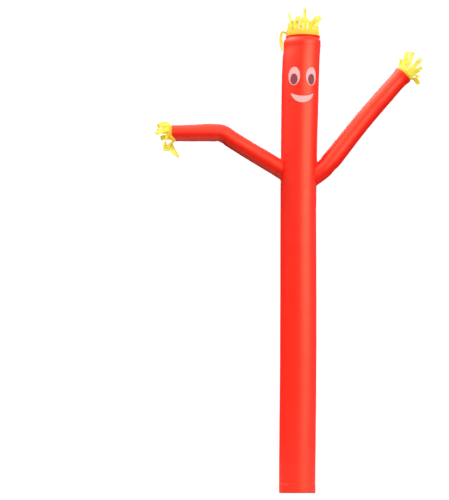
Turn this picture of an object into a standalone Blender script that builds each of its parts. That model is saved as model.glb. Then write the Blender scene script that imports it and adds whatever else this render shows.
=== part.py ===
"""An inflatable air dancer, 20 ft tall: an open red nylon tube that stands on its base hem, with a bent
sleeve on one side and a raised one on the other, yellow streamer fringes at the head and wrists, and a
face of sewn-on patches. Metres, +Z up, the face towards -Y."""

import math
from collections import namedtuple

import bmesh
import bpy
from mathutils import Matrix, Vector

# Cloth and clearances
CLOTH = 0.0016  # wall of the tube and the sleeves
PATCH = 0.0010  # a face patch
RIBBON = 0.0012  # the fringes
GAP = 0.0003  # between two pieces that touch
HEAD_EASE, WRIST_EASE = 0.0015, 0.0017  # how much smaller a fringe's ring is than the mouth it lines

# The tube's axis at the floor. The origin is under the middle of the arm span.
STAND = Vector((0.089, -0.013, 0.0))

BODY_SIDES = 36
SLEEVE_SIDES = 24

# A tube is a row of rings. steps is how many rings lead from a row to the next one.
Section = namedtuple("Section", "x y z radius steps")

# Middles are measured from the tube's axis at the floor.
BODY = (
    Section(0.000, 0.000, 0.000, 0.2252, 1),  # floor, base hem
    Section(0.000, 0.000, 0.112, 0.2252, 1),  # top of the base hem
    Section(0.006, 0.000, 0.657, 0.2256, 1),
    Section(0.014, 0.002, 1.403, 0.2254, 1),
    Section(0.019, 0.003, 2.401, 0.2262, 2),
    Section(0.024, 0.000, 3.657, 0.2264, 3),  # under the sleeves
    Section(0.040, -0.004, 4.667, 0.2318, 3),  # over the sleeves
    Section(0.061, -0.004, 5.428, 0.2338, 1),  # brow
    Section(0.072, -0.002, 5.569, 0.2304, 1),
    Section(0.076, 0.000, 5.657, 0.2298, 2),  # round under the neck seam
    Section(0.080, 0.000, 5.695, 0.2062, 1),  # neck seam, which draws the cloth in
    Section(0.086, 0.000, 5.723, 0.2172, 1),  # rim of the top hem
)

SLEEVE_LEFT = (
    Section(-0.060, 0.000, 3.960, 0.1150, 2),  # inside the body, cut away
    Section(-0.257, -0.005, 4.081, 0.1120, 2),  # kink beside the armhole
    Section(-0.552, -0.020, 4.257, 0.1095, 2),
    Section(-0.809, -0.050, 4.412, 0.1090, 3),
    Section(-0.925, -0.060, 4.484, 0.1105, 3),  # elbow
    Section(-1.084, -0.075, 4.497, 0.1110, 1),
    Section(-1.310, -0.100, 4.489, 0.1055, 2),
    Section(-1.530, -0.118, 4.486, 0.1005, 1),  # wrist seam
    Section(-1.562, -0.120, 4.486, 0.1015, 1),  # wrist rim
)

SLEEVE_RIGHT = (
    Section(0.120, 0.000, 3.885, 0.1150, 2),  # inside the body, cut away
    Section(0.345, 0.010, 4.060, 0.1215, 1),
    Section(0.420, 0.020, 4.140, 0.1230, 2),  # belly over the armhole
    Section(0.662, 0.060, 4.447, 0.1165, 2),
    Section(0.853, 0.090, 4.687, 0.1130, 2),
    Section(1.128, 0.130, 5.009, 0.1105, 2),
    Section(1.310, 0.162, 5.215, 0.1105, 1),  # wrist seam
    Section(1.355, 0.170, 5.263, 0.1205, 1),  # wrist rim
)

# A crease dents a sleeve at a point along it, on one side: towards is the way that side faces.
Crease = namedtuple("Crease", "at towards depth length")
CREASES_LEFT = (
    Crease(Vector((-0.900, -0.060, 4.38)), Vector((0.3, 0.0, -1.0)), 0.016, 0.055),
    Crease(Vector((-0.300, 0.000, 4.01)), Vector((0.5, 0.0, -0.9)), 0.010, 0.060),
)
CREASES_RIGHT = (
    Crease(Vector((0.455, 0.020, 4.05)), Vector((0.7, 0.0, -0.7)), 0.009, 0.060),
    Crease(Vector((0.300, 0.000, 4.16)), Vector((-0.7, 0.0, 0.7)), 0.008, 0.060),
)
LOWER_CUT_LEFT = 0.050  # how far the lower side of the left wrist is drawn back

# Face. Angles are about the tube's axis, from the -Y side towards +X.
FACE_TURN = 6.6
EYE_ANGLE = 28.0  # each side of the face's middle
EYE_HEIGHT = 5.192
EYE_WIDE, EYE_TALL = 0.155, 0.234
PUPIL_DROP = 0.038  # a pupil's middle under the eye's
PUPIL_WIDE, PUPIL_TALL = 0.092, 0.135
MOUTH_WIDE = 0.288
MOUTH_CORNERS = 4.981
MOUTH_LOWER_SAG, MOUTH_UPPER_SAG = 0.123, 0.038
FACE_ROWS = (4.667, 5.428)  # the body rings that the patches follow

# A strip's tip is this far from its root: right is +X, back is +Y. It sets off for a point that is rise
# along the mouth's axis and spread away from that axis, then curls over to the tip. turn twists it by
# that many degrees, and tip is its width there.
Strip = namedtuple("Strip", "right back up rise spread turn tip")

# A comb is one band sewn inside a mouth, with strips. share is a strip's part of its pitch, inside is how
# deep the band sits in the mouth, band how far it stands out before the slits start, flare how much wider
# it is there, and cut how far the mouth's lower side is drawn back.
Comb = namedtuple("Comb", "strips share inside band flare cut")

HAIR_STRIPS = (  # from the +X side round by the back
    Strip(-0.015, 0.005, 0.090, 0.040, 0.00, 15, 0.036),
    Strip(-0.010, -0.005, 0.135, 0.060, 0.00, -15, 0.036),
    Strip(0.045, 0.000, 0.175, 0.110, 0.00, 20, 0.038),
    Strip(0.050, 0.000, 0.240, 0.130, 0.00, 10, 0.040),
    Strip(0.035, -0.015, 0.185, 0.120, 0.00, -15, 0.038),
    Strip(0.050, -0.010, 0.220, 0.130, 0.00, 15, 0.038),
    Strip(0.045, -0.010, 0.235, 0.130, 0.00, -10, 0.038),
    Strip(0.010, 0.005, 0.250, 0.130, 0.00, 20, 0.034),
    Strip(-0.045, 0.010, 0.290, 0.160, 0.00, -10, 0.032),
    Strip(0.025, 0.000, 0.190, 0.120, 0.00, 25, 0.038),
    Strip(0.030, -0.015, 0.135, 0.070, 0.00, -15, 0.036),
    Strip(0.025, -0.015, 0.090, 0.050, 0.00, 15, 0.036),
    Strip(-0.055, -0.025, -0.220, 0.070, 0.12, 50, 0.036),
    Strip(0.005, -0.035, 0.080, 0.060, 0.00, -15, 0.038),
    Strip(0.135, 0.010, 0.180, 0.080, 0.00, 12, 0.046),
    Strip(-0.015, -0.040, 0.110, 0.090, 0.00, 10, 0.042),
    Strip(-0.015, -0.035, 0.110, 0.100, 0.00, -15, 0.042),
    Strip(-0.020, -0.030, 0.080, 0.080, 0.00, 10, 0.042),
    Strip(-0.005, -0.010, 0.280, 0.170, 0.00, 0, 0.038),
    Strip(0.145, -0.045, 0.155, 0.100, 0.00, 10, 0.044),
    Strip(-0.075, -0.010, 0.150, 0.080, 0.00, -15, 0.044),
    Strip(-0.030, -0.010, 0.085, 0.060, 0.00, 10, 0.040),
    Strip(-0.025, -0.010, 0.125, 0.060, 0.00, -15, 0.038),
    Strip(-0.015, -0.005, 0.070, 0.040, 0.00, 15, 0.036),
)

LEFT_STRIPS = (  # from the back round by the lower side
    Strip(-0.095, -0.050, -0.020, 0.060, 0.00, -10, 0.050),
    Strip(0.085, 0.000, -0.195, 0.030, 0.05, 40, 0.040),
    Strip(-0.020, 0.020, -0.065, 0.050, 0.04, -60, 0.050),
    Strip(0.030, 0.020, -0.190, 0.060, 0.05, -60, 0.046),
    Strip(-0.030, 0.025, -0.200, 0.090, 0.02, 0, 0.044),
    Strip(-0.165, -0.015, -0.065, 0.070, 0.00, -10, 0.050),
    Strip(-0.105, -0.050, -0.030, 0.060, 0.02, -50, 0.050),
    Strip(-0.135, -0.020, -0.045, 0.070, 0.02, 70, 0.050),
    Strip(-0.090, -0.015, 0.015, 0.050, 0.01, 35, 0.048),
    Strip(-0.140, -0.030, 0.000, 0.060, 0.00, 10, 0.050),
)

RIGHT_STRIPS = (  # from the back round by the upper side
    Strip(0.105, -0.020, 0.145, 0.070, 0.00, -10, 0.046),
    Strip(0.040, 0.000, 0.115, 0.070, 0.00, -60, 0.044),
    Strip(0.010, 0.005, 0.085, 0.050, 0.02, 60, 0.040),
    Strip(0.075, 0.010, 0.180, 0.090, 0.00, 45, 0.046),
    Strip(0.105, 0.010, 0.210, 0.090, 0.00, 20, 0.046),
    Strip(0.160, -0.010, 0.175, 0.100, 0.00, -10, 0.046),
    Strip(0.125, -0.030, 0.105, 0.100, 0.00, -40, 0.044),
    Strip(0.080, -0.035, -0.085, 0.060, 0.03, -70, 0.046),
    Strip(0.105, -0.040, 0.000, 0.100, 0.00, -60, 0.040),
    Strip(0.125, -0.030, 0.100, 0.080, 0.00, 20, 0.046),
)

BAND_ROWS, STRIP_ROWS = 2, 6
LIP = 0.008  # a band only flares this far outside its mouth


# ---------------------------------------------------------------- plain helpers

def remove_everything():
    for thing in list(bpy.data.objects):
        bpy.data.objects.remove(thing, do_unlink=True)


def collection(name, hidden=False):
    made = bpy.data.collections.new(name)
    bpy.context.scene.collection.children.link(made)
    made.hide_render = hidden
    return made


def cloth_material(name, colour, roughness):
    made = bpy.data.materials.new(name)
    made.use_nodes = True
    principled = made.node_tree.nodes["Principled BSDF"]
    principled.inputs["Base Color"].default_value = (*colour, 1.0)
    principled.inputs["Roughness"].default_value = roughness
    principled.inputs["Metallic"].default_value = 0.0
    made.diffuse_color = (*colour, 1.0)
    return made


def placed(name, bm, group, material=None, at=Vector()):
    """Turn a mesh modelled about the tube's foot into an object with its own origin at a point of it."""
    bmesh.ops.translate(bm, verts=bm.verts, vec=-at)
    mesh = bpy.data.meshes.new(name)
    bm.to_mesh(mesh)
    bm.free()
    thing = bpy.data.objects.new(name, mesh)
    thing.location = at
    thing.parent = group.foot
    group.things.objects.link(thing)
    if material:
        mesh.materials.append(material)
    else:
        thing.display_type = "WIRE"
        thing.hide_render = True
    return thing


def thicken(thing, thickness, outward=False):
    made = thing.modifiers.new("Cloth", "SOLIDIFY")
    made.thickness = thickness
    made.offset = 1.0 if outward else -1.0
    made.use_even_offset = True


def cut(thing, cutter, operation="DIFFERENCE"):
    made = thing.modifiers.new(cutter.name, "BOOLEAN")
    made.object = cutter
    made.operation = operation
    made.solver = "EXACT"


# ---------------------------------------------------------------- tubes

def between(table, row, share):
    """A point on the smooth curve through the table's rows, with its radius."""
    four = [Vector(table[max(0, min(len(table) - 1, row + k))][:4]) for k in (-1, 0, 1, 2)]
    length = [max(1e-6, (b.xyz - a.xyz).length) for a, b in zip(four, four[1:])]
    ahead = (four[2] - four[1]) / length[1]
    start = ahead if row == 0 else ((four[1] - four[0]) / length[0] + ahead) / 2
    last = row + 2 >= len(table)
    end = ahead if last else ((four[3] - four[2]) / length[2] + ahead) / 2
    a = four[1] * (2 * share**3 - 3 * share**2 + 1)
    b = start * length[1] * (share**3 - 2 * share**2 + share)
    c = four[2] * (3 * share**2 - 2 * share**3)
    d = end * length[1] * (share**3 - share**2)
    return a + b + c + d


def rings(table):
    """The middle and radius of every ring of a tube, from its table."""
    found = []
    for row, section in enumerate(table[:-1]):
        found += [between(table, row, step / section.steps) for step in range(section.steps)]
    return found + [Vector(table[-1][:4])]


def ring_axes(middles, upright):
    """For every ring, the way the tube runs and two directions across it."""
    found = []
    for k, middle in enumerate(middles):
        before, after = middles[max(0, k - 1)], middles[min(len(middles) - 1, k + 1)]
        along = Vector((0, 0, 1)) if upright else (after.xyz - before.xyz).normalized()
        guide = Vector((1, 0, 0)) if upright else Vector((0, 1, 0))
        first = (guide - along * guide.dot(along)).normalized()
        found.append((along, first, along.cross(first)))
    return found


def uneven(angle, height):
    """How far a blown tube's cloth stands off a true circle."""
    return 0.0012 * math.sin(2 * angle + 1.3 * height) + 0.0006 * math.sin(3 * angle - 2.1 * height)


def body_place(grow):
    middles = rings(BODY)

    def place(turn, row):
        middle = middles[row]
        angle = 2 * math.pi * turn
        reach = middle.w + grow + uneven(angle, middle.z)
        return middle.xyz + reach * Vector((math.cos(angle), math.sin(angle), 0))

    return place, len(middles) - 1


def sleeve_place(table, creases, lower_cut, grow):
    middles = rings(table)
    axes = ring_axes(middles, upright=False)

    def place(turn, row):
        middle, (along, first, second) = middles[row], axes[row]
        angle = 2 * math.pi * turn
        outward = math.cos(angle) * first + math.sin(angle) * second
        reach = middle.w + grow + uneven(angle, 3 * middle.x)
        point = middle.xyz + reach * outward
        for crease in creases:
            facing = max(0.0, outward.dot(crease.towards.normalized()))
            near = math.exp(-(((middle.xyz - crease.at).dot(along)) / crease.length) ** 2)
            point -= outward * crease.depth * facing**3 * near
        if row >= len(middles) - 2:
            point -= along * lower_cut * drawn_back(outward)
        return point

    return place, len(middles) - 1


def drawn_back(outward):
    """0 on a mouth's upper side, rising to 1 at its lowest point."""
    low = max(0.0, min(1.0, (-outward.z - 0.35) / 0.55))
    return low * low * (3 - 2 * low)


def tube(place, rows, sides, closed=False):
    """A tube of cloth with no thickness yet. closed caps its ends, for a cutter."""
    bm = bmesh.new()
    bmesh.ops.create_grid(bm, x_segments=sides, y_segments=rows, size=0.5)
    for vertex in bm.verts:
        turn = round((vertex.co.x + 0.5) * sides) / sides
        row = round((vertex.co.y + 0.5) * rows)
        vertex.co = place(turn % 1.0, row)
    bmesh.ops.remove_doubles(bm, verts=bm.verts, dist=0.00001)
    if closed:
        bmesh.ops.holes_fill(bm, edges=bm.edges, sides=sides)
    return bm


# ---------------------------------------------------------------- fringes

def comb_point(comb, mouth, k, side, row):
    """Where one corner of the comb lies. Rows 0 to 2 are the band, the rest are a strip's."""
    strip, pitch = comb.strips[k], 2 * math.pi / len(comb.strips)
    angle, half = pitch * (k + 0.5), pitch * comb.share / 2
    radius = mouth.radius + (comb.flare if row >= BAND_ROWS else 0.0)
    outward = math.cos(angle) * mouth.first + math.sin(angle) * mouth.second
    across = -math.sin(angle) * mouth.first + math.cos(angle) * mouth.second
    foot = mouth.middle + outward * radius * math.cos(half)
    root_wide = 2 * radius * math.sin(half)
    if row < BAND_ROWS:
        corner = (foot - mouth.middle) + across * side * root_wide / 2
        back = comb.cut * drawn_back(corner.normalized())
        return mouth.middle + corner + mouth.along * ((LIP if row else -comb.inside) - back)
    root = foot + mouth.along * (comb.band - comb.cut * drawn_back(outward))
    share = (row - BAND_ROWS) / STRIP_ROWS
    tip = root + Vector((strip.right, strip.back, strip.up))
    bend = root + mouth.along * strip.rise + outward * strip.spread
    middle = root.lerp(bend, share).lerp(bend.lerp(tip, share), share)
    runs = bend.lerp(tip, share) - root.lerp(bend, share)
    facing = (across - runs.normalized() * across.dot(runs.normalized())).normalized()
    twist = Matrix.Rotation(math.radians(strip.turn) * share, 3, runs)
    wide = root_wide + (strip.tip - root_wide) * share
    return middle + (twist @ facing) * side * wide / 2


def comb_sheet(comb, mouth):
    """A band with strips, cut from one closed ring of cloth: a column for each strip and each slit."""
    count = len(comb.strips)
    columns, rows = 2 * count, BAND_ROWS + STRIP_ROWS
    bm = bmesh.new()
    bmesh.ops.create_grid(bm, x_segments=columns, y_segments=rows, size=0.5)
    slits = [
        face
        for face in bm.faces
        if int((face.calc_center_median().x + 0.5) * columns) % 2
        and int((face.calc_center_median().y + 0.5) * rows) >= BAND_ROWS
    ]
    bmesh.ops.delete(bm, geom=slits, context="FACES")
    for vertex in bm.verts:
        column = round((vertex.co.x + 0.5) * columns) % columns
        row = round((vertex.co.y + 0.5) * rows)
        vertex.co = comb_point(comb, mouth, column // 2, 1 if column % 2 else -1, row)
    bmesh.ops.remove_doubles(bm, verts=bm.verts, dist=0.00001)
    return bm


Mouth = namedtuple("Mouth", "middle along first second radius")


def head_mouth():
    seam, rim = BODY[-2], BODY[-1]
    inner = (seam.radius - CLOTH) * math.cos(math.pi / BODY_SIDES) - GAP - HEAD_EASE
    middle = Vector((seam.x, seam.y, rim.z))
    return Mouth(middle, Vector((0, 0, 1)), Vector((1, 0, 0)), Vector((0, 1, 0)), inner)


def wrist_mouth(table):
    seam, rim = table[-2], table[-1]
    middles = rings(table)
    along, first, second = ring_axes(middles, upright=False)[-1]
    inner = (seam.radius - CLOTH) * math.cos(math.pi / SLEEVE_SIDES) - GAP - WRIST_EASE
    return Mouth(Vector(rim[:3]), along, first, second, inner)


# ---------------------------------------------------------------- face patches

def face_direction(degrees):
    angle = math.radians(degrees)
    return Vector((math.sin(angle), -math.cos(angle), 0))


def front_layer(lift, thickness):
    """The front of the body's cloth, lifted off it and as thick as one patch."""
    place, rows = body_place(lift)
    heights = [middle.z for middle in rings(BODY)]
    low = min(range(len(heights)), key=lambda k: abs(heights[k] - FACE_ROWS[0]))
    high = min(range(len(heights)), key=lambda k: abs(heights[k] - FACE_ROWS[1]))
    first, count = BODY_SIDES // 2 + 1, BODY_SIDES // 2 - 2
    bm = bmesh.new()
    bmesh.ops.create_grid(bm, x_segments=count, y_segments=high - low, size=0.5)
    for vertex in bm.verts:
        column = first + round((vertex.co.x + 0.5) * count)
        row = low + round((vertex.co.y + 0.5) * (high - low))
        vertex.co = place(column / BODY_SIDES, row)
    return bm


def axis_at(height):
    """The tube's middle at a height in the face."""
    table = [section for section in BODY if FACE_ROWS[0] <= section.z <= FACE_ROWS[1]]
    low, high = table[0], table[-1]
    share = (height - low.z) / (high.z - low.z)
    return Vector((low.x + share * (high.x - low.x), low.y, height))


def oval_cutter(wide, tall, degrees, height):
    """A straight oval bar through the front of the tube, along the way that side faces."""
    bm = bmesh.new()
    bmesh.ops.create_cone(bm, cap_ends=True, segments=36, radius1=0.5, radius2=0.5, depth=0.24)
    bmesh.ops.scale(bm, vec=(wide, tall, 1.0), verts=bm.verts)
    facing = face_direction(degrees)
    turn = Matrix((facing.cross(Vector((0, 0, 1))), Vector((0, 0, 1)), facing)).transposed()
    bmesh.ops.transform(bm, matrix=turn.to_4x4(), verts=bm.verts)
    bmesh.ops.recalc_face_normals(bm, faces=bm.faces)
    bmesh.ops.translate(bm, vec=axis_at(height) + facing * 0.20, verts=bm.verts)
    return bm


def arc(across, chord, sag):
    """How far a circle's arc stands off its chord, at a distance from the chord's middle."""
    radius = (chord * chord / 4 + sag * sag) / (2 * sag)
    return math.sqrt(max(0.0, radius * radius - across * across)) - (radius - sag)


def crescent_cutter():
    """A straight bar with a smile's section: two arcs that meet at the corners."""
    steps = 14
    bm = bmesh.new()
    lower, upper = [], []
    for k in range(steps + 1):
        across = MOUTH_WIDE * (k / steps - 0.5)
        lower.append((across, -arc(across, MOUTH_WIDE, MOUTH_LOWER_SAG)))
        upper.append((across, -arc(across, MOUTH_WIDE, MOUTH_UPPER_SAG)))
    outline = lower + upper[-2:0:-1]
    facing = face_direction(FACE_TURN)
    right = facing.cross(Vector((0, 0, 1))) * -1
    centre = axis_at(MOUTH_CORNERS) + facing * 0.08
    corners = [
        bm.verts.new(centre + right * a + Vector((0, 0, b))) for a, b in outline
    ]
    face = bm.faces.new(corners)
    pulled = bmesh.ops.extrude_face_region(bm, geom=[face])["geom"]
    bmesh.ops.translate(
        bm, vec=facing * 0.24, verts=[v for v in pulled if isinstance(v, bmesh.types.BMVert)]
    )
    bmesh.ops.recalc_face_normals(bm, faces=bm.faces)
    return bm


def patch(name, outline, layer, material, parts, cutters):
    """One sewn-on patch: a layer of cloth on the body's round, cut to an outline."""
    lift = GAP + layer * (PATCH + GAP)
    made = placed(name, front_layer(lift, PATCH), parts, material)
    thicken(made, PATCH, outward=True)
    cut(made, placed(f"outline_{name}", outline, cutters), "INTERSECT")


# ---------------------------------------------------------------- the object

Group = namedtuple("Group", "things foot")


def make_body(parts, cutters, red):
    place, rows = body_place(0.0)
    body = placed("body_tube", tube(place, rows, BODY_SIDES), parts, red)
    thicken(body, CLOTH)
    for name, table, creases in (
        ("left", SLEEVE_LEFT, CREASES_LEFT),
        ("right", SLEEVE_RIGHT, CREASES_RIGHT),
    ):
        bore, steps = sleeve_place(table, creases, 0.0, -CLOTH)
        cut(body, placed(f"armhole_{name}", tube(bore, steps, SLEEVE_SIDES, True), cutters))


def make_sleeve(name, table, creases, lower_cut, parts, cutters, red):
    place, rows = sleeve_place(table, creases, lower_cut, 0.0)
    root = Vector(table[1][:3])
    sleeve = placed(name, tube(place, rows, SLEEVE_SIDES), parts, red, at=root)
    thicken(sleeve, CLOTH)
    outside, rings_up = body_place(GAP)
    cut(sleeve, placed(f"round_of_body_{name}", tube(outside, rings_up, BODY_SIDES, True), cutters))


def make_fringe(name, comb, mouth, parts, yellow):
    fringe = placed(name, comb_sheet(comb, mouth), parts, yellow, at=mouth.middle)
    thicken(fringe, RIBBON)


def make_face(parts, cutters, white, dark):
    for name, side in (("left", -1), ("right", 1)):
        turned = FACE_TURN + side * EYE_ANGLE
        eye = oval_cutter(EYE_WIDE, EYE_TALL, turned, EYE_HEIGHT)
        patch(f"eye_white_{name}", eye, 0, white, parts, cutters)
        pupil = oval_cutter(PUPIL_WIDE, PUPIL_TALL, turned, EYE_HEIGHT - PUPIL_DROP)
        patch(f"pupil_{name}", pupil, 1, dark, parts, cutters)
    patch("mouth", crescent_cutter(), 0, white, parts, cutters)


def make_air_dancer():
    remove_everything()
    things, wire = collection("Air dancer"), collection("Cutters", hidden=True)
    foot = bpy.data.objects.new("foot", None)
    foot.location = STAND
    things.objects.link(foot)
    parts, cutters = Group(things, foot), Group(wire, foot)

    red = cloth_material("Red ripstop nylon", (0.86, 0.045, 0.02), 0.5)
    yellow = cloth_material("Yellow nylon streamers", (0.98, 0.78, 0.05), 0.5)
    white = cloth_material("White face cloth", (0.85, 0.62, 0.60), 0.6)
    dark = cloth_material("Dark face cloth", (0.20, 0.03, 0.04), 0.6)

    make_body(parts, cutters, red)
    make_sleeve("arm_left", SLEEVE_LEFT, CREASES_LEFT, LOWER_CUT_LEFT, parts, cutters, red)
    make_sleeve("arm_right", SLEEVE_RIGHT, CREASES_RIGHT, 0.0, parts, cutters, red)
    hair = Comb(HAIR_STRIPS, 0.90, 0.028, 0.045, 0.0, 0.0)
    make_fringe("hair_fringe", hair, head_mouth(), parts, yellow)
    left = Comb(LEFT_STRIPS, 0.88, 0.026, 0.040, 0.028, LOWER_CUT_LEFT)
    make_fringe("wrist_fringe_left", left, wrist_mouth(SLEEVE_LEFT), parts, yellow)
    right = Comb(RIGHT_STRIPS, 0.88, 0.067, 0.045, 0.010, 0.0)
    make_fringe("wrist_fringe_right", right, wrist_mouth(SLEEVE_RIGHT), parts, yellow)
    make_face(parts, cutters, white, dark)


make_air_dancer()
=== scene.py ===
"""An inflatable air dancer in detail: a red ripstop nylon tube with two sleeves, sewn hems, seams and
stitching, yellow streamers at the head and wrists, and a face of sewn-on patches. Metres, +Z up, the
face towards -Y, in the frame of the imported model."""

import math
from collections import namedtuple

import bmesh
import bpy
import numpy as np
from mathutils import Matrix, Vector, noise


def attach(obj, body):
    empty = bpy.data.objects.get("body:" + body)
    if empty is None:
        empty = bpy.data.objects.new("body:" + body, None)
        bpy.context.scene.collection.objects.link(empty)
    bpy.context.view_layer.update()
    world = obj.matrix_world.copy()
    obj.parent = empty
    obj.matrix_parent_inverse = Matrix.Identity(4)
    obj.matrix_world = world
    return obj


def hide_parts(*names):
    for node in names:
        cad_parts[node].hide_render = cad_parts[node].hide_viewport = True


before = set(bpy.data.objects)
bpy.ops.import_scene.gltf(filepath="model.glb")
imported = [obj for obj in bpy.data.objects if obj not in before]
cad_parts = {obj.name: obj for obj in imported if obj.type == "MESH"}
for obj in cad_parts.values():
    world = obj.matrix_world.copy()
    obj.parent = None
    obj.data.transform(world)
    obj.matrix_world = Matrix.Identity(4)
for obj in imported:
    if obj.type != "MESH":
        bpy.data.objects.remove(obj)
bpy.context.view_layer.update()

# ---------------------------------------- sizes

CLOTH = 0.0012  # how thick the nylon is drawn
HEM_STEP = 0.0013  # a folded hem stands this far off the single cloth
PATCH = 0.0009  # how thick a face patch is
RIBBON = 0.0008  # how thick a streamer is
GAP = 0.0003  # between two layers of cloth, and under a stitch
PACKED_CLOTH = 0.0016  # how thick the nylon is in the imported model
FLAT_RADIUS, FLAT_SLEEVE_RADIUS = 0.2255, 0.110  # what the flat maps take the tube and the sleeves for

# How deep the cloth is puckered, and how far from the seam or stitches that draw it in.
NECK_PUCKER, NECK_REACH = 0.0026, 0.045
WRIST_PUCKER, WRIST_REACH = 0.0010, 0.03
ARMHOLE_PUCKER, ARMHOLE_REACH = 0.0022, 0.07
GROOVE, GROOVE_REACH = 0.0012, 0.003
BACK_SEAM, BACK_SEAM_FROM, BACK_SEAM_TO = 0.0009, 0.0055, 0.0068  # how far it stands out, and its edge

STAND = Vector((0.089, -0.013, 0.0))  # the tube's axis at the floor

BASE_HEM, NECK_SEAM, TOP_RIM = 0.112, 5.695, 5.723  # heights
ARMHOLES_FROM, ARMHOLES_TO, ARMHOLE_RADIUS = 3.6, 4.5, 0.13  # the sleeves pucker the tube between these

# The middle of a tube, measured from STAND, and its radius there.
Section = namedtuple("Section", "x y z radius")

BODY = (
    Section(0.000, 0.000, 0.000, 0.2252),  # floor
    Section(0.000, 0.000, BASE_HEM, 0.2252),
    Section(0.006, 0.000, 0.657, 0.2256),
    Section(0.014, 0.002, 1.403, 0.2254),
    Section(0.019, 0.003, 2.401, 0.2262),
    Section(0.024, 0.000, 3.657, 0.2264),  # under the sleeves
    Section(0.040, -0.004, 4.667, 0.2318),  # over the sleeves
    Section(0.061, -0.004, 5.428, 0.2338),  # brow
    Section(0.072, -0.002, 5.569, 0.2304),
    Section(0.076, 0.000, 5.662, 0.2298),  # round under the neck seam
    Section(0.080, 0.000, NECK_SEAM, 0.2110),
    Section(0.086, 0.000, TOP_RIM, 0.2172),
)

SLEEVE_LEFT = (
    Section(-0.060, 0.000, 3.960, 0.1150),
    Section(-0.257, -0.005, 4.081, 0.1120),
    Section(-0.552, -0.020, 4.257, 0.1095),
    Section(-0.809, -0.050, 4.412, 0.1090),
    Section(-0.925, -0.060, 4.484, 0.1105),  # elbow
    Section(-1.084, -0.075, 4.497, 0.1110),
    Section(-1.310, -0.100, 4.489, 0.1055),
    Section(-1.530, -0.118, 4.486, 0.1005),  # wrist seam
    Section(-1.562, -0.120, 4.486, 0.1015),  # wrist rim
)
SLEEVE_RIGHT = (
    Section(0.120, 0.000, 3.885, 0.1150),
    Section(0.345, 0.010, 4.060, 0.1215),
    Section(0.420, 0.020, 4.140, 0.1230),  # belly over the armhole
    Section(0.662, 0.060, 4.447, 0.1165),
    Section(0.853, 0.090, 4.687, 0.1130),
    Section(1.128, 0.130, 5.009, 0.1105),
    Section(1.310, 0.162, 5.215, 0.1105),  # wrist seam
    Section(1.355, 0.170, 5.263, 0.1205),  # wrist rim
)

# A fold dents a sleeve at a point of its axis, on the side that towards names.
Fold = namedtuple("Fold", "at towards depth length")
FOLDS_LEFT = (
    Fold(Vector((-0.905, -0.060, 4.40)), Vector((0.3, -0.1, -1.0)), 0.014, 0.030),
    Fold(Vector((-0.985, -0.065, 4.40)), Vector((-0.1, -0.2, -1.0)), 0.008, 0.024),
    Fold(Vector((-0.835, -0.055, 4.36)), Vector((0.5, -0.2, -1.0)), 0.008, 0.026),
    Fold(Vector((-0.300, 0.000, 4.01)), Vector((0.5, 0.0, -0.9)), 0.010, 0.045),
    Fold(Vector((-0.245, 0.000, 4.13)), Vector((0.4, -0.4, 0.8)), 0.005, 0.040),
)
FOLDS_RIGHT = (
    Fold(Vector((0.455, 0.020, 4.05)), Vector((0.7, 0.0, -0.7)), 0.009, 0.050),
    Fold(Vector((0.300, 0.000, 4.16)), Vector((-0.7, 0.0, 0.7)), 0.008, 0.050),
    Fold(Vector((0.360, 0.010, 4.08)), Vector((-0.5, -0.6, 0.5)), 0.004, 0.035),
)
LOWER_CUT_LEFT, CUT_RAMP = 0.050, 0.110  # how much shorter the left sleeve is below, and over what length

FACE_TURN, EYE_ANGLE = 6.6, 28.0  # degrees round the tube: the middle of the face, and each eye from it
EYE_HEIGHT, EYE_WIDE, EYE_TALL = 5.192, 0.155, 0.234
PUPIL_DROP, PUPIL_WIDE, PUPIL_TALL = 0.038, 0.092, 0.135
MOUTH_WIDE, MOUTH_CORNERS = 0.288, 4.981  # its width, and the height of its corners
MOUTH_LOWER_SAG, MOUTH_UPPER_SAG = 0.123, 0.038  # how far its two edges hang below the corners

# A strip's tip lies right, back and up of its shoulder. The strip sets off for a point that is rise along
# the mouth's axis and spread away from it, then curls over to the tip. turn twists it, in degrees, and tip
# is its width there.
Strip = namedtuple("Strip", "right back up rise spread turn tip")

# A comb's strips fill a share of its ring. The ring goes inside the mouth, widens by flare outside it, and
# is cut back below as its sleeve is. slit is how far out its slits begin, band is how far out the strips'
# shoulders are, and fuller scales the width of their tips.
Comb = namedtuple("Comb", "strips share inside band flare cut slit fuller")
LIP = 0.008  # how far out a ring begins to widen
CURL = 1.12  # how much longer a strip's cloth is than the straight way to its tip

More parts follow.
